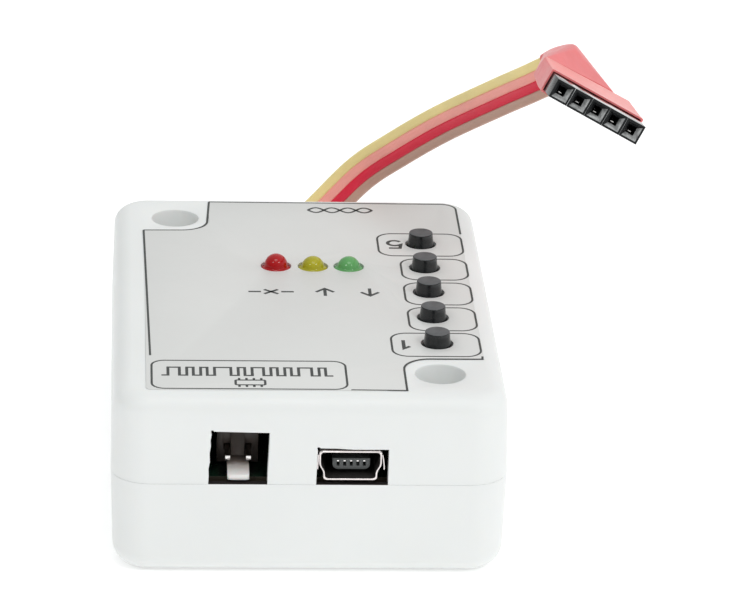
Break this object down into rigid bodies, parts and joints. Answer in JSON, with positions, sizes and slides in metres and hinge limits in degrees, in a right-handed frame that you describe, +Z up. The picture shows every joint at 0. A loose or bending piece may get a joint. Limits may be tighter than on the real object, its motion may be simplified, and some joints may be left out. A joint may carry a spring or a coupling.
{
  "type": "usb microcontroller programmer",
  "caption": "Small moulded plastic case with push buttons, round signal lamps, a small USB socket, a pin header and a short flat ribbon lead to a socket strip.",
  "frame": {"origin": "bottom centre of the case, on the surface it stands on", "axes": "+X to the right, +Y from the wall with the USB socket to the wall with the ribbon, +Z up"},
  "size_m": [0.0669, 0.08, 0.0541],
  "materials": {
    "case": "fine satin moulded ABS",
    "label": "matt printed film",
    "black_plastic": "moulded black",
    "button_plastic": "glossy moulded black",
    "grey_plastic": "moulded dark grey",
    "nylon": "natural nylon",
    "laminate": "solder mask on glass-epoxy",
    "steel": "zinc plated",
    "aluminium_can": "drawn can",
    "contact": "tin plated",
    "lamp_red": "tinted epoxy",
    "lamp_yellow": "tinted epoxy",
    "lamp_green": "tinted epoxy",
    "ribbon_vinyl": "striped soft vinyl",
    "sleeve_vinyl": "shrunk vinyl"
  },
  "bodies": {
    "programmer": {"upper_shell": "case", "lower_shell": "case", "face_label": "label", "circuit_board": "laminate", "case_screw_1": "steel", "case_screw_2": "steel", "board_screw_1": "steel", "board_screw_2": "steel", "microcontroller": "black_plastic", "line_driver": "black_plastic", "regulator": "black_plastic", "crystal": "steel", "capacitor_1": "aluminium_can", "capacitor_2": "aluminium_can", "wire_header": "black_plastic", "usb_shell": "contact", "usb_tongue": "grey_plastic", "header_wafer": "nylon", "header_pin_1": "contact", "header_pin_2": "contact", "led_red": "lamp_red", "led_yellow": "lamp_yellow", "led_green": "lamp_green", "switch_body_1": "grey_plastic", "switch_cover_1": "steel", "switch_dome_1": "steel", "switch_body_2": "grey_plastic", "switch_cover_2": "steel", "switch_dome_2": "steel", "switch_body_3": "grey_plastic", "switch_cover_3": "steel", "switch_dome_3": "steel", "switch_body_4": "grey_plastic", "switch_cover_4": "steel", "switch_dome_4": "steel", "switch_body_5": "grey_plastic", "switch_cover_5": "steel", "switch_dome_5": "steel", "ribbon_cable": "ribbon_vinyl", "heat_shrink_sleeve": "sleeve_vinyl", "socket_housing": "black_plastic", "socket_contact_1": "contact", "socket_contact_2": "contact", "socket_contact_3": "contact", "socket_contact_4": "contact", "socket_contact_5": "contact"},
    "button_1": {"switch_button_1": "button_plastic"},
    "button_2": {"switch_button_2": "button_plastic"},
    "button_3": {"switch_button_3": "button_plastic"},
    "button_4": {"switch_button_4": "button_plastic"},
    "button_5": {"switch_button_5": "button_plastic"}
  },
  "joints": [
    {"name": "button_1_press", "type": "slide", "parent": "programmer", "child": "button_1", "axis": [0, 0, -1], "range_m": [0, 0.00025], "stiffness_N_per_m": 2000},
    {"name": "button_2_press", "type": "slide", "parent": "programmer", "child": "button_2", "axis": [0, 0, -1], "range_m": [0, 0.00025], "stiffness_N_per_m": 2000},
    {"name": "button_3_press", "type": "slide", "parent": "programmer", "child": "button_3", "axis": [0, 0, -1], "range_m": [0, 0.00025], "stiffness_N_per_m": 2000},
    {"name": "button_4_press", "type": "slide", "parent": "programmer", "child": "button_4", "axis": [0, 0, -1], "range_m": [0, 0.00025], "stiffness_N_per_m": 2000},
    {"name": "button_5_press", "type": "slide", "parent": "programmer", "child": "button_5", "axis": [0, 0, -1], "range_m": [0, 0.00025], "stiffness_N_per_m": 2000}
  ]
}
